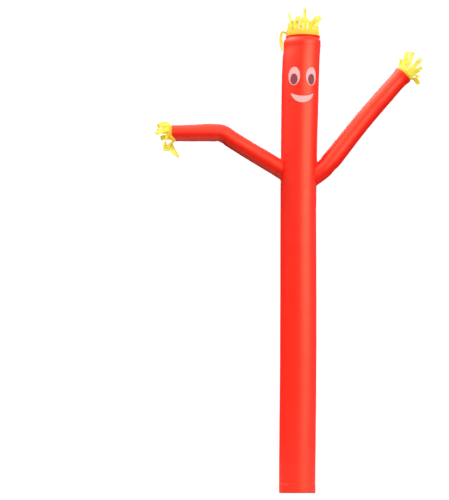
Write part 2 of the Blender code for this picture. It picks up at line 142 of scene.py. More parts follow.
HAIR_STRIPS = (  # from the +X side round by the back
    Strip(-0.015, 0.005, 0.090, 0.040, 0.00, 15, 0.036),
    Strip(-0.010, -0.005, 0.135, 0.060, 0.00, -15, 0.036),
    Strip(0.045, 0.000, 0.175, 0.110, 0.00, 20, 0.038),
    Strip(0.050, 0.000, 0.240, 0.130, 0.00, 10, 0.040),
    Strip(0.035, -0.015, 0.185, 0.120, 0.00, -15, 0.038),
    Strip(0.050, -0.010, 0.220, 0.130, 0.00, 15, 0.038),
    Strip(0.045, -0.010, 0.235, 0.130, 0.00, -10, 0.038),
    Strip(0.010, 0.005, 0.250, 0.130, 0.00, 20, 0.034),
    Strip(-0.045, 0.010, 0.290, 0.160, 0.00, -10, 0.032),
    Strip(0.025, 0.000, 0.190, 0.120, 0.00, 25, 0.038),
    Strip(0.030, -0.015, 0.135, 0.070, 0.00, -15, 0.036),
    Strip(0.025, -0.015, 0.090, 0.050, 0.00, 15, 0.036),
    Strip(-0.051, -0.026, -0.225, 0.065, 0.11, 120, 0.040),
    Strip(0.005, -0.035, 0.080, 0.060, 0.00, -15, 0.038),
    Strip(0.135, 0.010, 0.180, 0.080, 0.00, 72, 0.062),
    Strip(-0.015, -0.015, 0.125, 0.070, 0.00, 25, 0.042),
    Strip(0.010, -0.020, 0.150, 0.080, 0.00, -15, 0.046),
    Strip(0.000, -0.010, 0.110, 0.060, 0.00, 10, 0.044),
    Strip(-0.005, -0.010, 0.280, 0.170, 0.00, 0, 0.038),
    Strip(0.145, -0.025, 0.165, 0.100, 0.00, -58, 0.070),
    Strip(-0.075, -0.010, 0.150, 0.080, 0.00, -15, 0.044),
    Strip(-0.030, -0.010, 0.085, 0.060, 0.00, 10, 0.040),
    Strip(-0.025, -0.010, 0.125, 0.060, 0.00, -15, 0.038),
    Strip(-0.015, -0.005, 0.070, 0.040, 0.00, 15, 0.036),
)

LEFT_STRIPS = (  # from the back round by the lower side
    Strip(-0.095, -0.050, -0.020, 0.060, 0.00, -10, 0.050),
    Strip(0.085, 0.000, -0.195, 0.030, 0.05, 40, 0.040),
    Strip(-0.050, -0.010, -0.105, 0.045, 0.02, -160, 0.060),
    Strip(0.030, 0.010, -0.190, 0.060, 0.04, -110, 0.052),
    Strip(-0.040, 0.015, -0.200, 0.070, 0.01, -60, 0.048),
    Strip(-0.165, -0.015, -0.065, 0.070, 0.00, -10, 0.050),
    Strip(-0.105, -0.050, -0.030, 0.060, 0.02, -50, 0.050),
    Strip(-0.135, -0.020, -0.045, 0.070, 0.02, 70, 0.050),
    Strip(-0.090, -0.015, 0.015, 0.050, 0.01, 35, 0.048),
    Strip(-0.140, -0.030, 0.000, 0.060, 0.00, 10, 0.050),
)

RIGHT_STRIPS = (  # from the back round by the upper side
    Strip(0.105, -0.020, 0.145, 0.070, 0.00, -10, 0.046),
    Strip(0.040, 0.000, 0.115, 0.070, 0.00, -60, 0.044),
    Strip(0.020, 0.005, 0.100, 0.050, 0.01, -60, 0.040),
    Strip(0.085, 0.010, 0.190, 0.090, 0.00, 45, 0.050),
    Strip(0.105, 0.010, 0.210, 0.090, 0.00, 20, 0.046),
    Strip(0.160, -0.010, 0.175, 0.100, 0.00, -10, 0.046),
    Strip(0.125, -0.030, 0.105, 0.100, 0.00, -40, 0.044),
    Strip(0.080, -0.035, -0.085, 0.045, 0.02, -70, 0.050),
    Strip(0.105, -0.040, 0.000, 0.100, 0.00, -60, 0.040),
    Strip(0.125, -0.030, 0.100, 0.080, 0.00, 20, 0.046),
)

HAIR_COMB = Comb(
    HAIR_STRIPS, share=0.90, inside=0.028, band=0.045, flare=0.0, cut=0.0, slit=0.036, fuller=0.92
)
LEFT_COMB = Comb(
    LEFT_STRIPS, share=0.88, inside=0.026, band=0.040, flare=0.028, cut=LOWER_CUT_LEFT, slit=0.030,
    fuller=1.12,
)
RIGHT_COMB = Comb(
    RIGHT_STRIPS, share=0.88, inside=0.067, band=0.045, flare=0.010, cut=0.0, slit=0.030, fuller=1.15
)


# ---------------------------------------- shader maths

class Value:
    """A shader socket that can be added, multiplied and so on."""

    def __init__(self, finish, socket):
        self.finish, self.socket = finish, socket

    def __add__(self, other):
        return self.finish.maths("ADD", self, other)

    def __radd__(self, other):
        return self.finish.maths("ADD", other, self)

    def __sub__(self, other):
        return self.finish.maths("SUBTRACT", self, other)

    def __rsub__(self, other):
        return self.finish.maths("SUBTRACT", other, self)

    def __mul__(self, other):
        return self.finish.maths("MULTIPLY", self, other)

    def __rmul__(self, other):
        return self.finish.maths("MULTIPLY", other, self)

    def __truediv__(self, other):
        return self.finish.maths("DIVIDE", self, other)


def rgb(colour):
    return (*colour, 1.0)


class Finish:
    """One material, with a method for every kind of node that it needs."""

    def __init__(self, name, colour):
        self.material = bpy.data.materials.new(name)
        self.material.use_nodes = True
        self.tree = self.material.node_tree
        self.shader = self.tree.nodes["Principled BSDF"]
        self.material.diffuse_color = rgb(colour)
        self.give(self.shader, {"Base Color": rgb(colour)})

    def give(self, node, inputs):
        for name, value in inputs.items():
            if isinstance(value, Value):
                self.tree.links.new(value.socket, node.inputs[name])
            else:
                node.inputs[name].default_value = value

    def node(self, kind, output, **inputs):
        made = self.tree.nodes.new("ShaderNode" + kind)
        self.give(made, {name.replace("_", " "): value for name, value in inputs.items()})
        return Value(self, made.outputs[output])

    def maths(self, operation, *values, clamp=False):
        made = self.tree.nodes.new("ShaderNodeMath")
        made.operation, made.use_clamp = operation, clamp
        self.give(made, dict(enumerate(values)))
        return Value(self, made.outputs[0])

    def clamped(self, value):
        return self.maths("ADD", value, 0.0, clamp=True)

    def mixed(self, factor, first, second):
        """Two colours mixed. The numbers are the colour sockets of a node that can mix other kinds."""
        made = self.tree.nodes.new("ShaderNodeMix")
        made.data_type = "RGBA"
        self.give(made, {0: factor, 6: first, 7: second})
        return Value(self, made.outputs[2])

    def speckle(self, scale, detail=3.0, roughness=0.5):
        place = self.node("TexCoord", "Object")
        return self.node("TexNoise", "Fac", Vector=place, Scale=scale, Detail=detail, Roughness=roughness)

    def flat_map(self):
        """Where a place lies on its flat cloth, in metres: across it and along it."""
        across = self.node("SeparateXYZ", 0, Vector=self.node("TexCoord", "UV"))
        return across, Value(self, across.socket.node.outputs[1])

    def woven(self, pitch):
        """Plain weave, from -1 to 1, with its yarns a pitch apart."""
        across, along = (self.maths("SINE", way * (2 * math.pi / pitch)) for way in self.flat_map())
        return across * along

    def bumped(self, height, distance, under=None):
        inputs = {"Height": height, "Distance": distance}
        if under:
            inputs["Normal"] = under
        return self.node("Bump", "Normal", **inputs)


RIPSTOP_PITCH = 0.0060  # the square of heavier threads
HEAVY_THREAD = 0.09  # half a heavy thread's width, as a share of that square
YARN, PATCH_YARN = 0.0007, 0.0011
FOOT_DARK_HEIGHT = 0.018  # the darkening of the tube's foot fades out round here


def ripstop():
    """Coated nylon: a square grid of heavier threads, faint crinkles, uneven dye and a foot that darkens
    towards the floor.
    """
    red, deep = (0.93, 0.0085, 0.0030), (0.90, 0.0055, 0.0020)
    worn, foot_dark = (0.95, 0.024, 0.009), (0.34, 0.022, 0.009)
    finish = Finish("Red ripstop nylon", red)

    def heavy(place):
        off = finish.maths("PINGPONG", place / RIPSTOP_PITCH, 0.5)
        return finish.clamped(1.0 - off / HEAVY_THREAD)

    grid = finish.maths("MAXIMUM", *(heavy(way) for way in finish.flat_map()))
    dye = finish.speckle(1.1, 2.0)
    cloud = finish.speckle(7.0, 4.0, 0.6)
    wrinkle = finish.speckle(26.0, 3.0, 0.55)
    colour = finish.mixed(finish.clamped(dye * 1.6 - 0.3), rgb(deep), rgb(red))
    colour = finish.mixed(grid * 0.22, colour, rgb(worn))
    height = finish.node("SeparateXYZ", 2, Vector=finish.node("TexCoord", "Object"))
    # The colour turns darker towards the bottom, unevenly, over the lowest few centimetres of the tube.
    foot_darkening = finish.clamped(1.4 - height / FOOT_DARK_HEIGHT) * (0.7 + 0.3 * cloud)
    colour = finish.mixed(foot_darkening, colour, rgb(foot_dark))
    weave = finish.bumped(finish.woven(YARN) + grid * 8.0, 0.000004)
    finish.give(finish.shader, {
        "Base Color": colour,
        "Roughness": 0.385 + 0.10 * cloud,
        "Normal": finish.bumped(cloud + wrinkle * 0.35, 0.0022, weave),
        "Specular IOR Level": 0.55,
        "Specular Tint": rgb((1.0, 1.0, 0.58)),
    })
    return finish.material


def ribbon_cloth():
    """Yellow nylon ribbon: deeper where it is gathered at the root, paler to the tip, and light shines
    through it."""
    root, middle, tip = (0.97, 0.58, 0.045), (0.98, 0.88, 0.110), (0.97, 0.93, 0.240)
    stained = (0.92, 0.76, 0.05)
    finish = Finish("Yellow nylon ribbon", middle)
    along = finish.flat_map()[1]
    cloud = finish.speckle(14.0, 3.0)
    colour = finish.mixed(finish.clamped(along / 0.11), rgb(root), rgb(middle))
    colour = finish.mixed(finish.clamped((along - 0.12) / 0.22), colour, rgb(tip))
    colour = finish.mixed(finish.clamped(cloud * 1.5 - 0.5) * 0.35, colour, rgb(stained))
    finish.give(finish.shader, {
        "Base Color": colour,
        "Roughness": 0.42 + 0.2 * cloud,
        "Normal": finish.bumped(cloud + finish.woven(YARN) * 0.002, 0.002),
        "Specular IOR Level": 0.3,
    })
    glow = finish.node("BsdfTranslucent", 0, Color=colour)
    blend = finish.node("MixShader", 0, Fac=0.40).socket.node
    finish.tree.links.new(finish.shader.outputs[0], blend.inputs[1])
    finish.tree.links.new(glow.socket, blend.inputs[2])
    finish.tree.links.new(blend.outputs[0], finish.tree.nodes["Material Output"].inputs["Surface"])
    return finish.material


def patch_cloth(name, colour, deep):
    """Plain close-woven cloth for the face, with the tube's colour showing in faint blotches."""
    finish = Finish(name, colour)
    threads = finish.woven(PATCH_YARN)
    blotch = finish.speckle(16.0, 4.0, 0.6)
    uneven_dye = finish.mixed(finish.clamped(blotch * 1.8 - 0.45), rgb(colour), rgb(deep))
    finish.give(finish.shader, {
        "Base Color": finish.mixed(0.5 + 0.5 * threads, uneven_dye, rgb(0.94 * c for c in colour)),
        "Roughness": 0.55 + 0.2 * blotch,
        "Normal": finish.bumped(threads + blotch * 40.0, 0.000018),
        "Specular IOR Level": 0.25,
    })
    return finish.material


def thread(name, colour):
    """Twisted sewing thread."""
    finish = Finish(name, colour)
    twist = finish.speckle(900.0, 1.0)
    finish.give(finish.shader, {
        "Roughness": 0.45,
        "Base Color": finish.mixed(twist * 0.4, rgb(colour), rgb(0.6 * c for c in colour)),
        "Normal": finish.bumped(twist, 0.0002),
    })
    return finish.material


# ---------------------------------------- the blown-up tubes

def between(table, at):
    """The middle (x, y, z) and radius (w) of a tube at a place along its table, in rows."""
    row = max(0, min(int(at), len(table) - 2))
    share = at - row
    four = [Vector(table[max(0, min(len(table) - 1, row + k))]) for k in (-1, 0, 1, 2)]
    length = [max(1e-6, (b.xyz - a.xyz).length) for a, b in zip(four, four[1:])]
    ahead = (four[2] - four[1]) / length[1]
    start = ahead if row == 0 else ((four[1] - four[0]) / length[0] + ahead) / 2
    end = ahead if row + 2 >= len(table) else ((four[3] - four[2]) / length[2] + ahead) / 2
    a = four[1] * (2 * share**3 - 3 * share**2 + 1)
    b = start * length[1] * (share**3 - 2 * share**2 + share)
    c = four[2] * (3 * share**2 - 2 * share**3)
    d = end * length[1] * (share**3 - share**2)
    return a + b + c + d


def turn_of(column, columns):
    """The angle of a column of cloth that goes all the way round."""
    return 2 * math.pi * (column % columns) / columns


def ray(angle, first, second):
    """The way out from an axis at an angle, from the two directions across the axis."""
    return math.cos(angle) * first + math.sin(angle) * second


def uneven(angle, height):
    """How far air-filled cloth is from round."""
    return 0.0012 * math.sin(2 * angle + 1.3 * height) + 0.0006 * math.sin(3 * angle - 2.1 * height)


def smooth(low, high, value):
    """From 0 at low to 1 at high, level at both."""
    share = max(0.0, min(1.0, (value - low) / (high - low)))
    return share * share * (3 - 2 * share)


def row_at(height):
    """The place along the body's table that has a height."""
    for row, (low, high) in enumerate(zip(BODY, BODY[1:])):
        if height <= high.z:
            break
    share = (height - low.z) / (high.z - low.z)
    for _ in range(4):
        share += (height - between(BODY, row + share).z) / (high.z - low.z)
    return row + share


def armhole_pull(point):
    """The folds that fan out from each armhole on the body, and fade away from it."""
    pull = 0.0
    for table in (SLEEVE_LEFT, SLEEVE_RIGHT):
        off = point - Vector(table[1][:3])
        beyond = max(0.0, off.length - ARMHOLE_RADIUS)
        around = math.atan2(off.z, off.y)
        pull += ARMHOLE_PUCKER * math.exp(-beyond / ARMHOLE_REACH) * math.cos(9 * around + 0.8)
    return pull


def groove(off):
    """How deep a row of stitches draws the cloth in, at a distance from the row."""
    return GROOVE * math.exp(-(off / GROOVE_REACH) ** 2)


def body_radius(angle, middle):
    """The outside of the tube's cloth: air-blown, a little crinkled, gathered in at the neck seam."""
    z = middle.z
    reach = middle.w + uneven(angle, z)
    outward = Vector((math.cos(angle), math.sin(angle), 0))
    point = middle.xyz + reach * outward
    reach += 0.0011 * noise.noise(point * 2.6) + 0.0004 * noise.noise(point * 11.0)

    under_neck = NECK_SEAM - z
    wobble = 2.0 * noise.noise(3 * outward + Vector((0, 0, 0.5)))
    gather = math.cos(31 * angle + wobble) + 0.5 * math.cos(53 * angle - 2 * wobble)
    if under_neck >= 0:
        reach += NECK_PUCKER * gather * math.exp(-under_neck / NECK_REACH) * smooth(0, 0.012, under_neck)
    else:
        reach += 0.0007 * gather * smooth(0, 0.01, -under_neck) + HEM_STEP * 0.5

    if ARMHOLES_FROM < z < ARMHOLES_TO:
        reach += armhole_pull(point)
    if z < BASE_HEM:
        turned_in = 0.0030 * (1 - smooth(0.0, 0.020, z)) * (0.6 + 0.4 * math.cos(40 * angle))
        reach += HEM_STEP * smooth(BASE_HEM, BASE_HEM - 0.0015, z) - turned_in
    off_seam = abs(angle % (2 * math.pi) - math.pi / 2) * middle.w
    reach += BACK_SEAM * (1 - smooth(BACK_SEAM_FROM, BACK_SEAM_TO, off_seam))
    return reach - groove(z - BASE_HEM)


def body_point(angle, at, lift=0.0):
    middle = between(BODY, at)
    reach = body_radius(angle, middle) + lift
    return middle.xyz + reach * Vector((math.cos(angle), math.sin(angle), 0))


def clear_of_body(point):
    """How far a point lies outside the tube."""
    middle = between(BODY, row_at(point.z))
    off = Vector((point.x - middle.x, point.y - middle.y))
    return off.length - body_radius(math.atan2(off.y, off.x), middle)


def drawn_back(outward):
    """How much of its lower cut a wrist has on the side that outward names."""
    return smooth(0.35, 0.90, -outward.z)


SEAM_CLEAR = 0.0015  # how far off the body a sleeve's cloth begins
ROWS_BY_BODY = 2.5  # a sleeve is outside the body by this row of its table
STEPS_A_ROW = 20  # places on each row of the table at which its length is added up


class Sleeve:
    """A sleeve's cloth. A place on it is an angle round its axis and a row along its table."""

    def __init__(self, table, folds, lower_cut):
        self.table, self.folds, self.lower_cut = table, folds, lower_cut
        self.last = len(table) - 1
        self.steps = [k / STEPS_A_ROW for k in range(STEPS_A_ROW * self.last + 1)]
        self.run = [0.0]
        middles = [between(table, at).xyz for at in self.steps]
        for a, b in zip(middles, middles[1:]):
            self.run.append(self.run[-1] + (b - a).length)
        self.end, self.seam = self.run[-1], self.length(self.last - 1)

    def length(self, at):
        """How far along the axis a row lies."""
        return float(np.interp(at, self.steps, self.run))

    def row(self, length):
        return float(np.interp(length, self.run, self.steps))

    def axes(self, at):
        """The way that the sleeve runs, and the two directions across it."""
        ahead, behind = min(self.last, at + 0.02), max(0.0, at - 0.02)
        along = (between(self.table, ahead).xyz - between(self.table, behind).xyz).normalized()
        guide = Vector((0, 1, 0))
        first = (guide - along * guide.dot(along)).normalized()
        return along, first, along.cross(first)

    def outward(self, angle, at):
        return ray(angle, *self.axes(at)[1:])

    def point(self, angle, at, lift=0.0):
        """A place on the outside of the cloth: crinkled, folded, and gathered in at the wrist seam."""
        middle = between(self.table, at)
        along, first, second = self.axes(at)
        outward = ray(angle, first, second)
        reach = middle.w + uneven(angle, 3 * middle.x) + lift
        place = middle.xyz + reach * outward
        reach += 0.0010 * noise.noise(place * 5.0) + 0.0004 * noise.noise(place * 17.0)
        wobble = 1.5 * noise.noise(outward * 2.0)
        gather = math.cos(19 * angle + wobble) + 0.5 * math.cos(34 * angle - wobble)
        to_seam = self.seam - self.length(at)
        if to_seam > 0:
            reach += WRIST_PUCKER * gather * math.exp(-to_seam / WRIST_REACH) * smooth(0, 0.008, to_seam)
        reach += HEM_STEP * 0.8 * smooth(0.0012, 0.0, to_seam) - groove(to_seam)
        for fold in self.folds:
            facing = max(0.0, outward.dot(fold.towards.normalized()))
            near = math.exp(-((middle.xyz - fold.at).dot(along) / fold.length) ** 2)
            reach -= fold.depth * facing**3 * near
        place = middle.xyz + reach * outward
        back = self.lower_cut * drawn_back(outward) * smooth(CUT_RAMP, 0.0, to_seam)
        return place - along * back

    def root(self, angle):
        """The row at which a sleeve's cloth leaves the body."""
        inside, outside = 0.0, ROWS_BY_BODY
        for _ in range(18):
            half = (inside + outside) / 2
            if clear_of_body(self.point(angle, half)) > SEAM_CLEAR:
                outside = half
            else:
                inside = half
        return outside


LEFT = Sleeve(SLEEVE_LEFT, FOLDS_LEFT, LOWER_CUT_LEFT)
RIGHT = Sleeve(SLEEVE_RIGHT, FOLDS_RIGHT, 0.0)


# ---------------------------------------- cloth sheets

def nothing_selected():
    bpy.ops.object.select_all(action="DESELECT")


def take_up(thing):
    nothing_selected()
    thing.select_set(True)
    bpy.context.view_layer.objects.active = thing


def sheet_of(name, columns, rows, place, mapped, slit=None):
    """A grid of cloth, every corner put where place(column, row) says, with its own flat map in metres.
    Squares that slit(column, row) names are left out, and corners that meet are joined."""
    nothing_selected()
    bpy.ops.mesh.primitive_grid_add(x_subdivisions=columns, y_subdivisions=rows, size=1)
    thing = bpy.context.active_object
    thing.name = thing.data.name = name
    mesh = thing.data
    corners = np.empty(len(mesh.vertices) * 3)
    mesh.vertices.foreach_get("co", corners)
    corners = corners.reshape(-1, 3)
    column = np.rint((corners[:, 0] + 0.5) * columns).astype(int)
    row = np.rint((corners[:, 1] + 0.5) * rows).astype(int)
    found, flat = np.empty_like(corners), np.empty((len(corners), 2))
    for k, (c, r) in enumerate(zip(column, row)):
        found[k] = place(c, r)
        flat[k] = mapped(c, r)
    mesh.vertices.foreach_set("co", found.ravel())
    loops = np.empty(len(mesh.loops), dtype=int)
    mesh.loops.foreach_get("vertex_index", loops)
    mesh.uv_layers.active.data.foreach_set("uv", flat[loops].ravel())
    bm = bmesh.new()
    bm.from_mesh(mesh)
    if slit:
        gone = [face for k, face in enumerate(bm.faces) if slit(k % columns, k // columns)]
        bmesh.ops.delete(bm, geom=gone, context="FACES")
    bmesh.ops.remove_doubles(bm, verts=bm.verts, dist=0.00001)
    bm.to_mesh(mesh)
    bm.free()
    mesh.update()
    return thing


def apply(thing, kind, **settings):
    take_up(thing)
    made = thing.modifiers.new(kind.title(), kind)
    for name, value in settings.items():
        setattr(made, name, value)
    bpy.ops.object.modifier_apply(modifier=made.name)


def thicken(thing, thickness, way=-1.0):
    apply(thing, "SOLIDIFY", thickness=thickness, offset=way)
    return thing


def finished(thing, material, replaced=(), smooth_angle=50):
    """Gives a piece its look and hangs it on the root's frame; the imported parts that it stands for are
    hidden.
    """
    thing.data.materials.clear()
    thing.data.materials.append(material)
    take_up(thing)
    bpy.ops.object.shade_smooth_by_angle(angle=math.radians(smooth_angle))
    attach(thing, "root")
    if replaced:
        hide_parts(*replaced)
    nothing_selected()
    return thing


def spaced(*stops):
    """Heights from a list of (height, step to the next) pairs."""
    heights = []
    for (low, step), (high, _) in zip(stops, stops[1:]):
        count = max(1, round((high - low) / step))
        heights += [low + (high - low) * k / count for k in range(count)]
    return heights + [stops[-1][0]]


BODY_SIDES, SLEEVE_SIDES = 120, 84
BODY_HEIGHTS = spaced(
    (0.0, 0.004), (0.024, 0.020), (0.104, 0.002), (0.118, 0.03), (0.3, 0.045), (3.65, 0.018),
    (4.4, 0.03), (5.45, 0.015), (5.58, 0.006), (5.68, 0.003), (TOP_RIM, 0),
)
CUTTER_SIDES, CUTTER_ROWS, CUTTER_REACH, CUTTER_INSET = 72, 12, 2.4, 0.006


def make_tube():
    rows = [row_at(height) for height in BODY_HEIGHTS]

    def place(column, row):
        return STAND + body_point(turn_of(column, BODY_SIDES), rows[row])

    def mapped(column, row):
        return 2 * math.pi * FLAT_RADIUS * column / BODY_SIDES, BODY_HEIGHTS[row]

    tube = thicken(sheet_of("tube_cloth", BODY_SIDES, len(rows) - 1, place, mapped), CLOTH)
    for sleeve in (LEFT, RIGHT):
        cutter = armhole(sleeve)
        apply(tube, "BOOLEAN", object=cutter, operation="DIFFERENCE", solver="EXACT")
        bpy.data.objects.remove(cutter, do_unlink=True)
    return tube


def armhole(sleeve):
    """What the body's cloth is cut away by: the air inside a sleeve, where it enters the body."""
    def place(column, row):
        at = CUTTER_REACH * row / CUTTER_ROWS
        return STAND + sleeve.point(turn_of(column, CUTTER_SIDES), at, -CUTTER_INSET)

    cutter = sheet_of("armhole", CUTTER_SIDES, CUTTER_ROWS, place, lambda column, row: (0, 0))
    take_up(cutter)
    bpy.ops.object.mode_set(mode="EDIT")
    bpy.ops.mesh.select_all(action="SELECT")
    bpy.ops.mesh.fill_holes(sides=0)
    bpy.ops.mesh.normals_make_consistent(inside=False)
    bpy.ops.object.mode_set(mode="OBJECT")
    return cutter


def make_sleeve(name, sleeve):
    """Rows of cloth run from the body to the wrist, close together at the root, the elbow and the wrist."""
    starts = [sleeve.length(sleeve.root(turn_of(k, SLEEVE_SIDES))) for k in range(SLEEVE_SIDES)]
    lengths = spaced(
        (0.0, 0.006), (0.10, 0.012), (0.78, 0.008), (1.02, 0.012), (sleeve.end - 0.10, 0.005),
        (sleeve.end - 0.05, 0.003), (sleeve.end, 0),
    )

    def at(column, row):
        start = starts[column % SLEEVE_SIDES]
        return sleeve.row(start + (sleeve.end - start) * lengths[row] / sleeve.end)

    def place(column, row):
        return STAND + sleeve.point(turn_of(column, SLEEVE_SIDES), at(column, row))

    def mapped(column, row):
        return 2 * math.pi * FLAT_SLEEVE_RADIUS * column / SLEEVE_SIDES, sleeve.length(at(column, row))

    return thicken(sheet_of(name, SLEEVE_SIDES, len(lengths) - 1, place, mapped), CLOTH)


# ---------------------------------------- streamers

Mouth = namedtuple("Mouth", "middle along first second radius")


def ring_radius(seam, flats, clearance):
    """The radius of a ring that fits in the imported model's mouth, which has flat sides."""
    return (seam.radius - PACKED_CLOTH) * math.cos(math.pi / flats) - clearance


def head_mouth():
    seam, rim = BODY[-2:]
    middle = Vector((seam.x, seam.y, rim.z))
    ways = Vector((0, 0, 1)), Vector((1, 0, 0)), Vector((0, 1, 0))
    return Mouth(middle, *ways, ring_radius(seam, flats=36, clearance=0.0018))


def wrist_mouth(sleeve):
    seam, rim = sleeve.table[-2:]
    return Mouth(Vector(rim[:3]), *sleeve.axes(sleeve.last), ring_radius(seam, flats=24, clearance=0.0020))


def comb_point(comb, mouth, k, side, height, share):
    """A place on a comb: side runs from -1 to 1 across a strip, height is how far along the mouth's axis
    a place on the band lies, and share, from 0 to 1, is how far along a strip."""
    strip, pitch = comb.strips[k], 2 * math.pi / len(comb.strips)
    angle, half = pitch * (k + 0.5), pitch * comb.share / 2
    radius = mouth.radius + comb.flare * smooth(LIP, comb.slit, height)
    if share <= 0:
        corner = ray(angle + side * half, mouth.first, mouth.second)
        return mouth.middle + corner * radius + mouth.along * (height - comb.cut * drawn_back(corner))

    outward = ray(angle, mouth.first, mouth.second)
    across = -math.sin(angle) * mouth.first + math.cos(angle) * mouth.second
    foot = mouth.middle + outward * radius * math.cos(half) - mouth.along * comb.cut * drawn_back(outward)
    root, shoulder = foot + mouth.along * comb.slit, foot + mouth.along * comb.band
    tip = shoulder + Vector((strip.right, strip.back, strip.up))
    bend = shoulder + mouth.along * strip.rise + outward * strip.spread
    before, after = root.lerp(bend, share), bend.lerp(tip, share)
    runs = (after - before).normalized()
    flat = (across - runs * across.dot(runs)).normalized()
    facing = Matrix.Rotation(math.radians(strip.turn) * share, 3, runs) @ flat
    root_wide = 2 * radius * math.sin(half)
    wide = root_wide + (comb.fuller * strip.tip - root_wide) * share
    wave = 0.007 * share * math.sin(2 * math.pi * (1.6 * share + 0.37 * k))
    hollow = 0.004 * math.cos(2.3 * k) * share + 0.25 * wide * math.tan(half / 2) * (1 - share)
    proud = wave + (1 - side * side) * hollow
    return before.lerp(after, share) + facing * side * wide / 2 + facing.cross(runs).normalized() * proud


def tip_distance(strip):
    return math.hypot(strip.right, strip.back, strip.up)


def comb_area(comb, radius):
    """The area of its ring and of its strips, which narrow or widen evenly to their tips."""
    ring = 2 * math.pi * radius * (comb.inside + comb.slit)
    wide = 2 * math.pi * (radius + comb.flare) / len(comb.strips) * comb.share
    return ring + sum((wide + comb.fuller * s.tip) / 2 * CURL * tip_distance(s) for s in comb.strips)


STRIP_COLUMNS, STRIP_ROWS = 6, 26
MAP_PITCH, MAP_HALF, MAP_CURL = 0.06, 0.02, 1.1  # a strip's place, half width and slack on the flat map


def make_streamers(name, comb, mouth):
    """A band with strips, cut from one closed ring of cloth. Each slit is one column of squares."""
    heights = [-comb.inside, -comb.inside / 2, 0.0, LIP, (LIP + comb.slit) / 2, comb.slit]
    band_rows, pitch = len(heights) - 1, STRIP_COLUMNS + 1
    columns = len(comb.strips) * pitch

    def parts(column, row):
        k, i = divmod(column % columns, pitch)
        share = max(0, row - band_rows) / STRIP_ROWS
        return k, 2 * i / STRIP_COLUMNS - 1, heights[min(row, band_rows)], share

    def place(column, row):
        return STAND + comb_point(comb, mouth, *parts(column, row))

    def mapped(column, row):
        k, side, height, share = parts(column, row)
        out = height + share * tip_distance(comb.strips[k]) * MAP_CURL
        return k * MAP_PITCH + side * MAP_HALF, comb.inside + out

    def slit(column, row):
        return column % pitch == STRIP_COLUMNS and row >= band_rows

    return thicken(sheet_of(name, columns, band_rows + STRIP_ROWS, place, mapped, slit), RIBBON)


# ---------------------------------------- face

def face_point(degrees, height, across, up, lift):
    """A place on the body's front: across and up are measured on a flat plane that faces degrees."""
    at = row_at(height + up)
    reach = between(BODY, at).w
    angle = math.radians(degrees) - math.pi / 2 + math.asin(max(-1, min(1, across / reach)))
    return STAND + body_point(angle, at, lift)


def arc(across, chord, sag):
    """How far an arc stands off its chord."""
    radius = (chord * chord / 4 + sag * sag) / (2 * sag)
    return math.sqrt(max(0.0, radius * radius - across * across)) - (radius - sag)


def oval_edge(wide, tall):
    def edge(turn):
        return wide / 2 * math.cos(turn), tall / 2 * math.sin(turn)
    return edge


def smile_edge(turn):
    """Round the crescent: the lower arc from corner to corner, then the upper one back."""
    share = (turn / math.pi) % 2
    if share < 1:
        across = MOUTH_WIDE / 2 * -math.cos(math.pi * share)
        return across, -arc(across, MOUTH_WIDE, MOUTH_LOWER_SAG)
    across = MOUTH_WIDE / 2 * math.cos(math.pi * (share - 1))
    return across, -arc(across, MOUTH_WIDE, MOUTH_UPPER_SAG)


def layer_lift(layer):
    """How far off the body a patch's back lies: layer 0 is on the body, and 1 is on another patch."""
    return GAP + layer * (PATCH + GAP)


def make_patch(name, columns, rows, flat, degrees, height, layer):
    def place(column, row):
        return face_point(degrees, height, *flat(column, row), layer_lift(layer))

    return thicken(sheet_of(name, columns, rows, place, flat), PATCH, 1.0)


def make_oval(name, wide, tall, degrees, height, layer):
    columns, rows = 72, 10

    def flat(column, row):
        across, up = oval_edge(wide, tall)(turn_of(column, columns))
        share = 1 - row / rows
        return across * share, up * share

    return make_patch(name, columns, rows, flat, degrees, height, layer)


def make_smile():
    columns, rows = 48, 8

    def flat(column, row):
        across = MOUTH_WIDE / 2 * -math.cos(math.pi * column / columns)
        low = -arc(across, MOUTH_WIDE, MOUTH_LOWER_SAG)
        high = -arc(across, MOUTH_WIDE, MOUTH_UPPER_SAG)
        return across, low + (high - low) * row / rows

    return make_patch("smile", columns, rows, flat, FACE_TURN, MOUTH_CORNERS, 0)


# ---------------------------------------- sewing

def one_stitch():
    """A single stitch, 1 m long, wide and high, lying along X with its back up +Z."""
    nothing_selected()
    bpy.ops.mesh.primitive_uv_sphere_add(segments=6, ring_count=4, radius=0.5, rotation=(0, math.pi / 2, 0))
    bpy.ops.object.transform_apply(location=False, rotation=True, scale=False)
    stitch = bpy.context.active_object
    corners = np.array([v.co[:] for v in stitch.data.vertices])
    faces = [tuple(p.vertices) for p in stitch.data.polygons]
    bpy.data.objects.remove(stitch, do_unlink=True)
    return corners, faces


STITCH, STITCH_FACES = one_stitch()
SEAM_THREAD, SATIN_THREAD = (0.0011, 0.0008), (0.0018, 0.0010)  # how wide and how high a stitch is
STITCH_PITCH, STITCH_SHARE, SATIN_PITCH, SATIN_SUNK = 0.0048, 0.78, 0.0021, 0.0002
WHITE_SATIN, DARK_SATIN = 0.0052, 0.004  # how far satin stitches reach across the edge of a patch
SEAM_OFF = 0.006  # from a hem's edge or a seam to its row of stitches
HEM_STITCHES = 0.108, 0.102, 0.012, NECK_SEAM + 0.003, NECK_SEAM - SEAM_OFF, TOP_RIM - 0.004  # heights
SLEEVE_SEAM = 0.3  # the angle at which a sleeve's long seam runs
PIPING = 0.0026  # half the thickness of an armhole's turned seam


